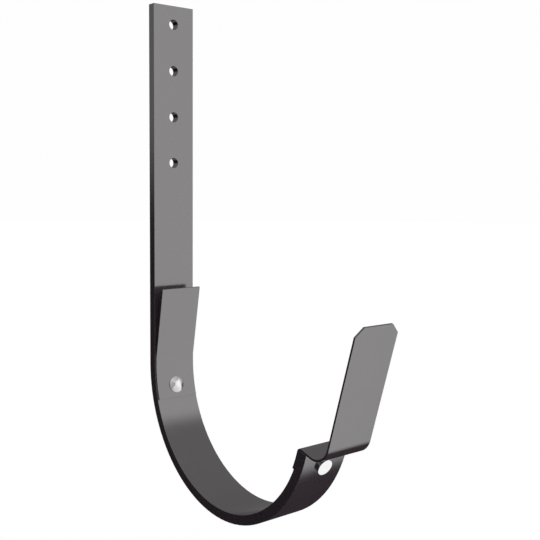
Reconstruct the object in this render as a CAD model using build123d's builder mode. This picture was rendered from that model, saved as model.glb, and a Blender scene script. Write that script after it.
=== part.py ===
from build123d import *
from math import asin, cos, degrees, hypot, radians, sin, sqrt, tan
import os

# Half-round gutter bracket: a flat bar bent into a hook, with a sheet clip
# riveted inside the rear of the arc and a second one over the front tip.
#
# Frame, in millimetres: the wall face of the straight leg is y = 0 and the
# bracket reaches out towards -Y; X runs along the gutter, Z is up. The origin
# is the centre of the row of four screw holes, on the wall face.
# The side profiles below are drawn in (u, z), where u = -y is the distance
# out from the wall.

# ---- hook strap -----------------------------------------------------------
strap_width = 30.0
strap_thick = 6.0
leg_top = 57.0              # upper end of the leg above the hole centre
hole_dia = 6.6              # clearance for an M6 or 6 mm wood screw
hole_pitch = 30.0
arc_inner_r = 75.0          # fits a half-round gutter 150 mm wide
arc_z = -178.0              # height of the arc centre
strap_edge_r = 0.15         # edges of the flat bar, barely broken

# ---- sheet clips ----------------------------------------------------------
sheet = 1.2
rear_width = 28.8
rear_end_angle = 198.4      # lower end of the rear clip, round the arc
rear_kink_z = -174.25       # where the rear clip leaves the leg
rear_flare = 10.0           # lean of its free end away from the leg
rear_top = -127.6           # height of its front upper edge
rear_kink_r = 3.0

front_width = 30.0
plate_drop = 16.5           # slope of the plate over the tip, and lean of the tab
tip_offset = 1.2            # the tip plane passes this far above the arc centre
front_end_angle = 335.0     # lower end of the leg inside the tip
fold_r = 1.3                # inner radius of the fold round the tip
bead_bend_r = 10.3          # inner radius of the bend that carries the gutter's bead
tab_reach = 94.26           # arc centre to the tab's inner face, along the plate
tab_height = 80.7           # arc centre to the top of the tab, square to the plate
tab_chamfer = 5.0

# ---- rivets ---------------------------------------------------------------
rivet_hole = 5.0
shank_dia = 4.8
rear_rivet_angle = 191.9
front_rivet_angle = 337.5
head_dia = 10.8             # low domed head on a shallow rim
head_height = 2.1
head_rim = 0.45
head_edge_r = 0.2
set_dia = 9.6               # flattened outer end
set_edge_r = 0.15
front_set_height = 1.8
rear_set_height = 0.6       # hammered low, to stay clear of the wall

arc_outer_r = arc_inner_r + strap_thick
arc_u = arc_outer_r         # the arc is tangent to the leg
sheet_r = arc_inner_r - sheet

side = Plane(origin=(0, 0, 0), x_dir=(0, -1, 0), z_dir=(-1, 0, 0))


def at(r, angle):
    """Point (u, z) on a circle about the arc centre."""
    return (arc_u + r * cos(radians(angle)), arc_z + r * sin(radians(angle)))


def tip(e, f):
    """Point (u, z) from the arc centre: e along the sloping plate, f square to it."""
    a = radians(plate_drop)
    return (arc_u + e * cos(a) + f * sin(a), arc_z - e * sin(a) + f * cos(a))


def rivet_plane(angle, r=0.0):
    """Plane square to a rivet, its z axis pointing out through the strap."""
    u, z = at(r, angle)
    return Plane(
        origin=(0, -u, z),
        x_dir=(1, 0, 0),
        z_dir=(0, -cos(radians(angle)), sin(radians(angle))),
    )


def tip_angle(r):
    """Where the circle of radius r meets the plane of the cut tip."""
    return 360.0 - plate_drop + degrees(asin(tip_offset / r))


# ---- hook_strap -----------------------------------------------------------
with BuildPart() as hook_strap:
    with BuildSketch(side):
        with BuildLine():
            Line((strap_thick, arc_z), (strap_thick, leg_top))
            Line((strap_thick, leg_top), (0, leg_top))
            Line((0, leg_top), (0, arc_z))
            outer = CenterArc((arc_u, arc_z), arc_outer_r, 180, tip_angle(arc_outer_r) - 180)
            inner = CenterArc((arc_u, arc_z), arc_inner_r, 180, tip_angle(arc_inner_r) - 180)
            Line(outer @ 1, inner @ 1)
        make_face()
    extrude(amount=strap_width / 2, both=True)
    # The inner corner of the tip is rounded, so that the folded sheet lies snug on it.
    u_in, z_in = at(arc_inner_r, tip_angle(arc_inner_r))
    fillet(
        hook_strap.edges().filter_by(Axis.X).sort_by_distance((0, -u_in, z_in))[0],
        radius=fold_r,
    )
    # The long edges of the bar, front and back, are slightly rounded.
    rims = (
        hook_strap.faces().filter_by(Axis.X).sort_by(Axis.X)[0].edges()
        + hook_strap.faces().filter_by(Axis.X).sort_by(Axis.X)[-1].edges()
    )
    fillet(rims, radius=strap_edge_r)
    # Four screw holes in line down the leg.
    with BuildSketch(Plane.XZ):
        with GridLocations(0, hole_pitch, 1, 4):
            Circle(hole_dia / 2)
    extrude(amount=strap_thick + 1, both=True, mode=Mode.SUBTRACT)
    # Rivet holes at the rear of the arc and near the tip.
    for angle in (rear_rivet_angle, front_rivet_angle):
        with BuildSketch(rivet_plane(angle, arc_inner_r + strap_thick / 2)):
            Circle(rivet_hole / 2)
        extrude(amount=strap_thick, both=True, mode=Mode.SUBTRACT)

# ---- rear_clip ------------------------------------------------------------
# Up the inside of the arc, a short straight length against the leg, then
# leaning out from it to the free upper end.
lean = radians(rear_flare)
face_u = arc_u - sheet_r                       # front face of the sheet at the leg
length = (rear_top - rear_kink_z) / cos(lean)
front_top = (face_u + length * sin(lean), rear_top)
back_top = (front_top[0] - sheet * cos(lean), front_top[1] + sheet * sin(lean))
back_kink_z = rear_kink_z + sheet * tan(lean / 2)

with BuildPart() as rear_clip:
    with BuildSketch(side) as rear_profile:
        with BuildLine():
            front_arc = CenterArc((arc_u, arc_z), sheet_r, 180, rear_end_angle - 180)
            back_arc = CenterArc((arc_u, arc_z), arc_inner_r, 180, rear_end_angle - 180)
            Line(front_arc @ 1, back_arc @ 1)
            Polyline(front_arc @ 0, (face_u, rear_kink_z), front_top, back_top,
                     (face_u - sheet, back_kink_z), back_arc @ 0)
        make_face()
        fillet(rear_profile.vertices().sort_by_distance((face_u, rear_kink_z, 0))[0], rear_kink_r)
        fillet(rear_profile.vertices().sort_by_distance((face_u - sheet, back_kink_z, 0))[0], rear_kink_r + sheet)
    extrude(amount=rear_width / 2, both=True)
    with BuildSketch(rivet_plane(rear_rivet_angle, arc_inner_r)):
        Circle(rivet_hole / 2)
    extrude(amount=strap_thick, both=True, mode=Mode.SUBTRACT)

# ---- front_clip -----------------------------------------------------------
# A short leg inside the tip, folded over the end of the bar, a sloping plate,
# a round bend that carries the gutter's bead, and the long tab.
fold_e = sqrt((arc_inner_r + fold_r) ** 2 - (tip_offset - fold_r) ** 2)
fold_f = tip_offset - fold_r                   # centre of the fold
fold_angle = degrees(asin(fold_f / hypot(fold_e, fold_f))) - plate_drop + 360.0
plate_low, plate_up = tip_offset, tip_offset + sheet
bend_e, bend_f = tab_reach - bead_bend_r, plate_up + bead_bend_r
fold_sweep = -(90.0 + (fold_angle - 360.0 + plate_drop))

with BuildPart() as front_clip:
    with BuildSketch(side):
        with BuildLine():
            leg_in = CenterArc((arc_u, arc_z), sheet_r, front_end_angle, fold_angle - front_end_angle)
            leg_out = CenterArc((arc_u, arc_z), arc_inner_r, front_end_angle, fold_angle - front_end_angle)
            Line(leg_in @ 0, leg_out @ 0)
            fold_out = CenterArc(tip(fold_e, fold_f), fold_r + sheet, fold_angle - 180, fold_sweep)
            fold_in = CenterArc(tip(fold_e, fold_f), fold_r, fold_angle - 180, fold_sweep)
            Line(fold_out @ 1, tip(bend_e, plate_up))
            Line(fold_in @ 1, tip(bend_e, plate_low))
            CenterArc(tip(bend_e, bend_f), bead_bend_r, -90 - plate_drop, 90)
            CenterArc(tip(bend_e, bend_f), bead_bend_r + sheet, -90 - plate_drop, 90)
            Polyline(tip(tab_reach, bend_f), tip(tab_reach, tab_height),
                     tip(tab_reach + sheet, tab_height), tip(tab_reach + sheet, bend_f))
        make_face()
    extrude(amount=front_width / 2, both=True)
    # The two upper corners of the tab are cut off.
    corners = front_clip.faces().sort_by(Axis.Z)[-1].edges().filter_by(Axis.X, reverse=True)
    chamfer(corners, length=tab_chamfer)
    with BuildSketch(rivet_plane(front_rivet_angle, arc_inner_r)):
        Circle(rivet_hole / 2)
    extrude(amount=3.0, both=True, mode=Mode.SUBTRACT)


# ---- rivets ---------------------------------------------------------------
# Both rivets are alike: a domed head on the inside, a plain shank, and a
# flattened end outside. The heads bear on the curved faces of the stack.
def profile_plane(angle):
    """Plane through a rivet's axis, from the arc centre: x across the rivet, y out along it."""
    a = radians(angle)
    return Plane(origin=(0, -arc_u, arc_z), x_dir=(1, 0, 0), z_dir=(0, -sin(a), -cos(a)))


def rivet_axis(angle):
    a = radians(angle)
    return Axis((0, -arc_u, arc_z), (0, -cos(a), sin(a)))


def head_outline():
    """Half outline of the domed head, its rim carried on into the stack."""
    r = head_dia / 2
    rise = head_height - head_rim
    ball = (r ** 2 + rise ** 2) / (2 * rise)
    crown = sheet_r - head_height
    # The dome and the rim meet in a small arc: its centre lies head_edge_r in
    # from the rim, and ball - head_edge_r from the centre of the dome.
    e_x = r - head_edge_r
    e_y = crown + ball - sqrt((ball - head_edge_r) ** 2 - e_x ** 2)
    a = asin(e_x / (ball - head_edge_r))
    m = (a + radians(90)) / 2
    ThreePointArc((0, crown), (ball * sin(a / 2), crown + ball - ball * cos(a / 2)),
                  (e_x + head_edge_r * sin(a), e_y - head_edge_r * cos(a)))
    ThreePointArc((e_x + head_edge_r * sin(a), e_y - head_edge_r * cos(a)),
                  (e_x + head_edge_r * sin(m), e_y - head_edge_r * cos(m)), (r, e_y))
    Polyline((r, e_y), (r, sheet_r + 1), (0, sheet_r + 1), (0, crown))


def set_outline(height):
    """Half outline of the flattened end, its edge carried on into the stack."""
    r = set_dia / 2
    top = arc_outer_r + height
    Polyline((0, top), (r - set_edge_r, top))
    ThreePointArc((r - set_edge_r, top),
                  (r - set_edge_r * (1 - sqrt(0.5)), top - set_edge_r * (1 - sqrt(0.5))),
                  (r, top - set_edge_r))
    Polyline((r, top - set_edge_r), (r, arc_outer_r - 1), (0, arc_outer_r - 1), (0, top))


with BuildPart() as rear_rivet:
    with BuildSketch(profile_plane(rear_rivet_angle)):
        with BuildLine():
            head_outline()
        make_face()
        with BuildLine():
            set_outline(rear_set_height)
        make_face()
    revolve(axis=rivet_axis(rear_rivet_angle))
    # Cut away the stack between the two curved faces, then put the shank back.
    with BuildSketch(side):
        with Locations((arc_u, arc_z)):
            Circle(arc_outer_r)
            Circle(sheet_r, mode=Mode.SUBTRACT)
    extrude(amount=head_dia, both=True, mode=Mode.SUBTRACT)
    with BuildSketch(rivet_plane(rear_rivet_angle, sheet_r - 0.5)):
        Circle(shank_dia / 2)
    extrude(amount=arc_outer_r - sheet_r + 0.8)

with BuildPart() as front_rivet:
    with BuildSketch(profile_plane(front_rivet_angle)):
        with BuildLine():
            head_outline()
        make_face()
        with BuildLine():
            set_outline(front_set_height)
        make_face()
    revolve(axis=rivet_axis(front_rivet_angle))
    with BuildSketch(side):
        with Locations((arc_u, arc_z)):
            Circle(arc_outer_r)
            Circle(sheet_r, mode=Mode.SUBTRACT)
    extrude(amount=head_dia, both=True, mode=Mode.SUBTRACT)
    with BuildSketch(rivet_plane(front_rivet_angle, sheet_r - 0.5)):
        Circle(shank_dia / 2)
    extrude(amount=arc_outer_r - sheet_r + 0.8)

# ---- export ---------------------------------------------------------------
hook_strap.part.label = "hook_strap"
rear_clip.part.label = "rear_clip"
front_clip.part.label = "front_clip"
rear_rivet.part.label = "rear_rivet"
front_rivet.part.label = "front_rivet"

os.makedirs("parts", exist_ok=True)
export_step(hook_strap.part, "parts/hook_strap.step")
export_step(rear_clip.part, "parts/rear_clip.step")
export_step(front_clip.part, "parts/front_clip.step")
export_step(rear_rivet.part, "parts/rear_rivet.step")
export_step(front_rivet.part, "parts/front_rivet.step")
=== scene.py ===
import math

import bpy
from mathutils import Matrix, Vector

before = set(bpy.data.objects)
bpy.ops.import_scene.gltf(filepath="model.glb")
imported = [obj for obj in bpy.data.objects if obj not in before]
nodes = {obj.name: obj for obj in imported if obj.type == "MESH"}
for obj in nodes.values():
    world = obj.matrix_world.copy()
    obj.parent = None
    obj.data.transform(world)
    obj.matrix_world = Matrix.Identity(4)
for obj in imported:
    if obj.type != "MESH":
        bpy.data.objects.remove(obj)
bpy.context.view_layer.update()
scene = bpy.context.scene


# ---------------------------------------------------------------- node helpers
def socket_link(tree, value, target):
    if isinstance(value, bpy.types.NodeSocket):
        tree.links.new(value, target)
    elif value is not None:
        target.default_value = value


def math_node(tree, op, a, b=None, c=None, clamp=False):
    n = tree.nodes.new("ShaderNodeMath")
    n.operation = op
    n.use_clamp = clamp
    for i, v in enumerate((a, b, c)):
        socket_link(tree, v, n.inputs[i])
    return n.outputs[0]


def ramp(tree, value, lo, hi, to_lo=0.0, to_hi=1.0, smooth=True):
    n = tree.nodes.new("ShaderNodeMapRange")
    n.interpolation_type = "SMOOTHSTEP" if smooth else "LINEAR"
    n.clamp = True
    socket_link(tree, value, n.inputs["Value"])
    for name, v in (("From Min", lo), ("From Max", hi), ("To Min", to_lo), ("To Max", to_hi)):
        n.inputs[name].default_value = v
    return n.outputs["Result"]


def noise(tree, coord, scale, detail=3.0, rough=0.5, distortion=0.0):
    n = tree.nodes.new("ShaderNodeTexNoise")
    tree.links.new(coord, n.inputs["Vector"])
    n.inputs["Scale"].default_value = scale
    n.inputs["Detail"].default_value = detail
    n.inputs["Roughness"].default_value = rough
    n.inputs["Distortion"].default_value = distortion
    return n.outputs["Fac"]


def mix_color(tree, fac, a, b):
    n = tree.nodes.new("ShaderNodeMix")
    n.data_type = "RGBA"
    socket_link(tree, fac, n.inputs[0])
    socket_link(tree, a, n.inputs[6])
    socket_link(tree, b, n.inputs[7])
    return n.outputs[2]


def bump(tree, height, distance, strength=1.0, normal=None):
    n = tree.nodes.new("ShaderNodeBump")
    n.inputs["Strength"].default_value = strength
    n.inputs["Distance"].default_value = distance
    tree.links.new(height, n.inputs["Height"])
    if normal is not None:
        tree.links.new(normal, n.inputs["Normal"])
    return n.outputs["Normal"]


def dot(tree, vector, direction):
    n = tree.nodes.new("ShaderNodeVectorMath")
    n.operation = "DOT_PRODUCT"
    tree.links.new(vector, n.inputs[0])
    n.inputs[1].default_value = direction
    return n.outputs["Value"]


def edge_mask(tree, radius, start=0.004, full=0.12):
    """1 on sharp edges within radius, 0 on flat and gently curved faces."""
    bevel = tree.nodes.new("ShaderNodeBevel")
    bevel.samples = 6
    bevel.inputs["Radius"].default_value = radius
    geo = tree.nodes.new("ShaderNodeNewGeometry")
    along = tree.nodes.new("ShaderNodeVectorMath")
    along.operation = "DOT_PRODUCT"
    tree.links.new(bevel.outputs["Normal"], along.inputs[0])
    tree.links.new(geo.outputs["Normal"], along.inputs[1])
    return ramp(tree, math_node(tree, "SUBTRACT", 1.0, along.outputs["Value"]), start, full)


def new_material(name):
    m = bpy.data.materials.new(name)
    m.use_nodes = True
    t = m.node_tree
    return m, t, t.nodes["Principled BSDF"], t.nodes.new("ShaderNodeTexCoord").outputs["Object"]


# ---------------------------------------------------------------- materials
def coated_steel(name, seed):
    """Dark plum-grey paint under a hard, fairly glossy surface with a very fine orange peel."""
    m, t, bsdf, obj = new_material(name)
    shift = t.nodes.new("ShaderNodeVectorMath")
    shift.operation = "ADD"
    t.links.new(obj, shift.inputs[0])
    shift.inputs[1].default_value = (seed * 0.37, seed * 0.11, seed * 0.23)
    p = shift.outputs["Vector"]

    cloud = noise(t, p, 38.0, 3.0, 0.55)
    speck = noise(t, p, 2600.0, 2.0, 0.6)
    peel = noise(t, p, 620.0, 2.0, 0.5)

    tone = ramp(t, cloud, 0.3, 0.7, smooth=False)
    base = mix_color(t, tone, (0.090, 0.069, 0.082, 1), (0.100, 0.078, 0.092, 1))
    grain = ramp(t, speck, 0.56, 0.74)
    base = mix_color(t, math_node(t, "MULTIPLY", grain, 0.30), base, (0.150, 0.132, 0.140, 1))
    pit = ramp(t, speck, 0.40, 0.28)
    base = mix_color(t, math_node(t, "MULTIPLY", pit, 0.40), base, (0.040, 0.031, 0.035, 1))

    # The coat is thin and rubbed on sharp edges, in broken stretches.
    rub = math_node(t, "MULTIPLY", edge_mask(t, 0.00055), ramp(t, noise(t, p, 300.0, 4.0, 0.65), 0.42, 0.66))
    base = mix_color(t, math_node(t, "MULTIPLY", rub, 0.25), base, (0.200, 0.185, 0.190, 1))
    t.links.new(base, bsdf.inputs["Base Color"])

    bsdf.inputs["Metallic"].default_value = 0.0
    bsdf.inputs["IOR"].default_value = 2.7
    rough = math_node(t, "ADD", ramp(t, noise(t, p, 90.0, 4.0, 0.6), 0.3, 0.7, 0.145, 0.175, smooth=False),
                      math_node(t, "MULTIPLY", rub, 0.08))
    t.links.new(rough, bsdf.inputs["Roughness"])
    n = bump(t, peel, 0.0000025)
    n = bump(t, speck, 0.0000008, normal=n)
    t.links.new(n, bsdf.inputs["Normal"])
    return m


DOME_RADIUS = 0.00966


def rivet_metal(name, seed, rough=(0.30, 0.38), light=0.93, struck=None, pressed=()):
    """Bright rivet metal, faintly marked by the setting tool.

    struck is (axis, slope direction, slope): the flat end square to that axis
    is shaded as leaning by that slope, as a hammer blow leaves it.
    pressed lists round spots on the dome as (centre, radius, share of the
    curvature lost): each is shaded as flattened by the tool, with a soft rim.
    """
    m, t, bsdf, obj = new_material(name)
    shift = t.nodes.new("ShaderNodeVectorMath")
    shift.operation = "ADD"
    t.links.new(obj, shift.inputs[0])
    shift.inputs[1].default_value = (seed * 0.53, seed * 0.19, seed * 0.31)
    p = shift.outputs["Vector"]
    stain = ramp(t, noise(t, p, 420.0, 4.0, 0.6), 0.35, 0.65, smooth=False)
    base = mix_color(t, stain, (light, light, light + 0.005, 1), (0.985, 0.985, 0.985, 1))
    scratch = ramp(t, noise(t, p, 1500.0, 3.0, 0.7, 0.6), 0.60, 0.72)
    base = mix_color(t, math_node(t, "MULTIPLY", scratch, 0.14), base, (0.72, 0.72, 0.73, 1))
    t.links.new(base, bsdf.inputs["Base Color"])
    bsdf.inputs["Metallic"].default_value = 1.0
    t.links.new(ramp(t, noise(t, p, 700.0, 3.0, 0.6), 0.3, 0.7, *rough, smooth=False), bsdf.inputs["Roughness"])
    normal = bump(t, noise(t, p, 900.0, 3.0, 0.6), 0.000002)
    if struck:
        axis, along, slope = struck
        geo = t.nodes.new("ShaderNodeNewGeometry")
        flat = ramp(t, dot(t, geo.outputs["True Normal"], axis), 0.97, 0.99)
        height = math_node(t, "MULTIPLY", flat, math_node(t, "MULTIPLY", dot(t, obj, along), -slope))
        normal = bump(t, height, 1.0, normal=normal)
    for centre, radius, share in pressed:
        away = t.nodes.new("ShaderNodeVectorMath")
        away.operation = "DISTANCE"
        t.links.new(obj, away.inputs[0])
        away.inputs[1].default_value = centre
        inside = math_node(t, "SUBTRACT", radius ** 2, math_node(t, "POWER", away.outputs["Value"], 2.0))
        depth = math_node(t, "SMOOTH_MAX", inside, 0.0, radius * 0.0022)
        normal = bump(t, math_node(t, "MULTIPLY", depth, -0.5 * share / DOME_RADIUS), 1.0, normal=normal)
    t.links.new(normal, bsdf.inputs["Normal"])
    return m


def dress(node, material):
    obj = nodes[node]
    if not obj.material_slots:
        obj.data.materials.append(material)
    for s in obj.material_slots:
        s.material = material


dress("hook_strap", coated_steel("coated_bar", 1))
dress("rear_clip", coated_steel("coated_sheet_rear", 2))
dress("front_clip", coated_steel("coated_sheet_front", 3))
dress("rear_rivet", rivet_metal("rivet_rear", 1, (0.25, 0.32), pressed=(
    ((-0.0013, -0.01070, -0.1970), 0.0038, 0.90), ((-0.0014, -0.00865, -0.1885), 0.0025, 0.80))))
# The front rivet's metal is set lighter than the rear rivet's (0.975 against 0.93). This is painted light: a lit
# copy of the same metal, so its flat struck end reads as bright as the light falling on it.
dress("front_rivet", rivet_metal("rivet_front", 2, (0.17, 0.22), 0.975, ((0, -0.92388, -0.38268), (0, -0.38268, 0.92388), 0.128)))

# ---------------------------------------------------------------- floor
FLOOR_Z = -0.34
floor_mesh = bpy.data.meshes.new("floor")
ring = [(6 * math.cos(math.radians(a)), 6 * math.sin(math.radians(a)), FLOOR_Z) for a in range(0, 360, 3)]
floor_mesh.from_pydata(ring, [], [list(range(len(ring)))])
floor = bpy.data.objects.new("floor", floor_mesh)
scene.collection.objects.link(floor)
fm, ft, fb, fobj = new_material("floor_pale")
pale = mix_color(ft, noise(ft, fobj, 3.0, 3.0, 0.5), (0.50, 0.50, 0.50, 1), (0.53, 0.53, 0.53, 1))
ft.links.new(pale, fb.inputs["Base Color"])
fb.inputs["Roughness"].default_value = 0.9
fb.inputs["Specular IOR Level"].default_value = 0.0
fb.inputs["Emission Color"].default_value = (1, 1, 1, 1)
fb.inputs["Emission Strength"].default_value = 0.80
floor_mesh.materials.append(fm)
floor.visible_glossy = False
floor.visible_diffuse = False

# ---------------------------------------------------------------- studio
# A wide, soft, even panel in front on the right, a weaker glow above it on the
# left, and a plain grey room with a dim, faintly plum floor. The camera itself
# sees plain white behind the object.
world = bpy.data.worlds.new("studio")
scene.world = world
world.use_nodes = True
w = world.node_tree
w.nodes.clear()
direction = w.nodes.new("ShaderNodeTexCoord").outputs["Generated"]
xyz = w.nodes.new("ShaderNodeSeparateXYZ")
w.links.new(direction, xyz.inputs[0])
dx, dy, dz = xyz.outputs
elevation = math_node(w, "MULTIPLY", math_node(w, "ARCSINE", dz), 180 / math.pi)
azimuth = math_node(w, "MULTIPLY", math_node(w, "ARCTAN2", dx, math_node(w, "MULTIPLY", dy, -1.0)), 180 / math.pi)

# The room is grey above the horizon, down the front left, down behind the
# object and, dimly, straight below it. Elsewhere it is nearly black below the
# horizon.
sky = ramp(w, elevation, -3.0, 4.4)
left = math_node(w, "MULTIPLY", ramp(w, azimuth, -52.0, -36.0), ramp(w, azimuth, 24.0, 14.0))
left = math_node(w, "MULTIPLY", left, ramp(w, elevation, -58.0, -48.0))
behind = math_node(w, "MAXIMUM", ramp(w, azimuth, 108.0, 134.0), ramp(w, azimuth, -164.0, -176.0))
behind = math_node(w, "MULTIPLY", behind, ramp(w, elevation, -19.0, -10.0))
straight_behind = math_node(w, "MAXIMUM", ramp(w, azimuth, 152.0, 168.0), ramp(w, azimuth, -164.0, -176.0))
straight_behind = math_node(w, "MULTIPLY", straight_behind, ramp(w, elevation, -62.0, -48.0))
grey = ramp(w, elevation, -70.0, -80.0, 0.0, 0.6)
for zone in (sky, left, behind, straight_behind):
    grey = math_node(w, "MAXIMUM", grey, zone)
above = math_node(w, "MULTIPLY", ramp(w, elevation, 18.0, 50.0), ramp(w, azimuth, -75.0, -45.0))
above = math_node(w, "MULTIPLY", above, ramp(w, azimuth, 44.0, 20.0))
back = math_node(w, "MULTIPLY", ramp(w, azimuth, 90.0, 130.0), ramp(w, elevation, 62.0, -2.0))
level_of_room = math_node(w, "ADD", math_node(w, "MULTIPLY", above, 0.24), 0.367)
for zone, drop in ((ramp(w, azimuth, 20.0, 45.0), 0.050), (ramp(w, azimuth, 75.0, 100.0), 0.016), (back, 0.085),
                   (ramp(w, azimuth, -100.0, -130.0), 0.066)):
    level_of_room = math_node(w, "SUBTRACT", level_of_room, math_node(w, "MULTIPLY", zone, drop))
panel = math_node(w, "MULTIPLY", ramp(w, elevation, 40.6, 27.6), ramp(w, elevation, -84.0, -68.0))
right = ramp(w, math_node(w, "ADD", azimuth, ramp(w, elevation, -28.0, -8.0, 0.0, 4.0)), 76.8, 57.5)
panel = math_node(w, "MULTIPLY", panel, math_node(w, "MULTIPLY", ramp(w, azimuth, 4.0, 18.0), right))
dim = math_node(w, "MULTIPLY", ramp(w, elevation, -31.0, -42.0), ramp(w, azimuth, 48.0, 36.0))
panel = math_node(w, "MULTIPLY", panel, math_node(w, "SUBTRACT", 1.0, math_node(w, "MULTIPLY", dim, 0.45)))

grey_level = math_node(w, "MULTIPLY", level_of_room, grey)
gloom = math_node(w, "MULTIPLY", ramp(w, azimuth, 66.0, 96.0), ramp(w, azimuth, 178.0, 160.0))
room = w.nodes.new("ShaderNodeCombineColor")
for i, tint in enumerate((0.050, 0.038, 0.047)):
    w.links.new(math_node(w, "MAXIMUM", grey_level, math_node(w, "MULTIPLY", gloom, tint)), room.inputs[i])
level = mix_color(w, panel, room.outputs[0], (1.015, 1.015, 1.015, 1))
seen = w.nodes.new("ShaderNodeBackground")
seen.inputs["Color"].default_value = (0.99, 0.99, 0.99, 1)
lit = w.nodes.new("ShaderNodeBackground")
w.links.new(level, lit.inputs["Color"])
path = w.nodes.new("ShaderNodeLightPath")
both = w.nodes.new("ShaderNodeMixShader")
w.links.new(path.outputs["Is Camera Ray"], both.inputs[0])
w.links.new(lit.outputs[0], both.inputs[1])
w.links.new(seen.outputs[0], both.inputs[2])
out = w.nodes.new("ShaderNodeOutputWorld")
w.links.new(both.outputs[0], out.inputs["Surface"])
world.cycles.sampling_method = "MANUAL"
world.cycles.sample_map_resolution = 1024

# ---------------------------------------------------------------- camera
yaw, pitch, roll = (math.radians(v) for v in (38.6203, -4.4069, 0.4222))
look = Vector((math.sin(yaw) * math.cos(pitch), math.cos(yaw) * math.cos(pitch), math.sin(pitch)))
level_right = Vector((math.cos(yaw), -math.sin(yaw), 0.0))
level_up = level_right.cross(look)
right = math.cos(roll) * level_right + math.sin(roll) * level_up
up = -math.sin(roll) * level_right + math.cos(roll) * level_up
cam_data = bpy.data.cameras.new("camera")
cam = bpy.data.objects.new("camera", cam_data)
scene.collection.objects.link(cam)
cam.matrix_world = Matrix((
    (right.x, up.x, -look.x, -0.294765),
    (right.y, up.y, -look.y, -0.477696),
    (right.z, up.z, -look.z, -0.058660),
    (0, 0, 0, 1),
))
cam_data.sensor_width = 36.0
cam_data.lens = 55.338
cam_data.shift_y = -0.04
cam_data.clip_start, cam_data.clip_end = 0.01, 50.0
scene.camera = cam
scene.view_settings.view_transform = "Standard"
